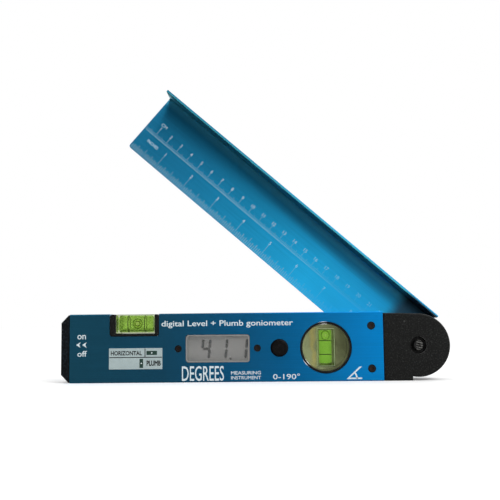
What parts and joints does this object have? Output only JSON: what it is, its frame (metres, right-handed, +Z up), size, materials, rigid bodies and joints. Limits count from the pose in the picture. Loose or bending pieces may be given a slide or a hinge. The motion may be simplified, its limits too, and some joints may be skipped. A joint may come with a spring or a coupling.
{
  "type": "digital goniometer",
  "caption": "Folding digital goniometer: a blue aluminium body with display, level and plumb vials, and an L-section arm with ruler scales on an end pivot.",
  "frame": {"origin": "middle of the whole tool's box, at the bottom, on the surface that the body's lower edge stands on", "axes": "+X along the body from the end cap to the hinge, +Y from the display face to the arm behind, +Z up from the body's lower edge to its vial edge"},
  "size_m": [0.268, 0.0296, 0.2083],
  "materials": {
    "blue_aluminium": "blue anodised, brushed along the length",
    "black_plastic": "fine moulded grain, glass filled",
    "button_plastic": "smooth satin",
    "inner_plastic": "plain moulded",
    "clear_plastic": "clear, glossy",
    "clear_acrylic": "clear, polished",
    "amber_acrylic": "tinted, polished",
    "green_liquid": "fluorescent vial liquid",
    "lcd": "grey liquid crystal cell",
    "zebra_rubber": "layered elastomer",
    "circuit_board": "solder mask",
    "cable": "flat cable",
    "label": "printed film",
    "battery": "sleeved cell",
    "black_steel": "blackened",
    "plated_steel": "zinc plated",
    "spring_steel": "nickel plated",
    "nylon": "natural",
    "brass": "turned"
  },
  "bodies": {
    "body": {"body_extrusion": "blue_aluminium", "end_cap": "black_plastic", "switch_housing": "inner_plastic", "switch_cable": "cable", "lcd_window": "clear_plastic", "lcd_glass": "lcd", "lcd_holder": "inner_plastic", "zebra_strip": "zebra_rubber", "main_board": "circuit_board", "controller_chip": "inner_plastic", "button_switch": "inner_plastic", "display_screw_left": "black_steel", "display_screw_right": "black_steel", "level_holder": "black_plastic", "level_block": "clear_acrylic", "level_liquid": "green_liquid", "level_plug": "clear_acrylic", "vial_label": "label", "plumb_ring": "black_plastic", "plumb_disc": "amber_acrylic", "plumb_block": "clear_acrylic", "plumb_liquid": "green_liquid", "plumb_plug": "clear_acrylic", "battery_tray": "inner_plastic", "battery_upper": "battery", "battery_spring_upper": "spring_steel", "battery_lower": "battery", "battery_spring_lower": "spring_steel", "battery_bridge": "spring_steel", "battery_contact_upper": "spring_steel", "battery_contact_lower": "spring_steel", "hinge_block": "black_plastic", "hinge_screw_top": "black_steel", "hinge_screw_bottom": "black_steel", "pivot_bolt": "black_steel", "pivot_nut": "plated_steel", "friction_washer": "nylon", "wave_washer": "spring_steel", "encoder_stator": "circuit_board", "encoder_cable": "cable"},
    "arm": {"arm_extrusion": "blue_aluminium", "arm_hub": "black_plastic", "pivot_bush": "brass", "encoder_rotor": "circuit_board", "hub_screw_1": "black_steel", "hub_screw_2": "black_steel", "hub_screw_3": "black_steel"},
    "hold_button": {"hold_button": "button_plastic"},
    "power_slider": {"power_slider": "black_plastic"},
    "battery_door": {"battery_door": "black_plastic"}
  },
  "joints": [
    {"name": "arm_hinge", "type": "hinge", "parent": "body", "child": "arm", "pos_m": [0.11245, 0.0064, 0.024], "axis": [0, 1, 0], "range_deg": [-41.1, 148.9]},
    {"name": "hold_press", "type": "slide", "parent": "body", "child": "hold_button", "axis": [0, 1, 0], "range_m": [0, 0.0008], "stiffness_N_per_m": 1500, "springref_m": -0.0004},
    {"name": "power_slide", "type": "slide", "parent": "body", "child": "power_slider", "axis": [0, 0, -1], "range_m": [0, 0.0045]},
    {"name": "door_slide", "type": "slide", "parent": "body", "child": "battery_door", "axis": [1, 0, 0], "range_m": [0, 0.0055]}
  ]
}
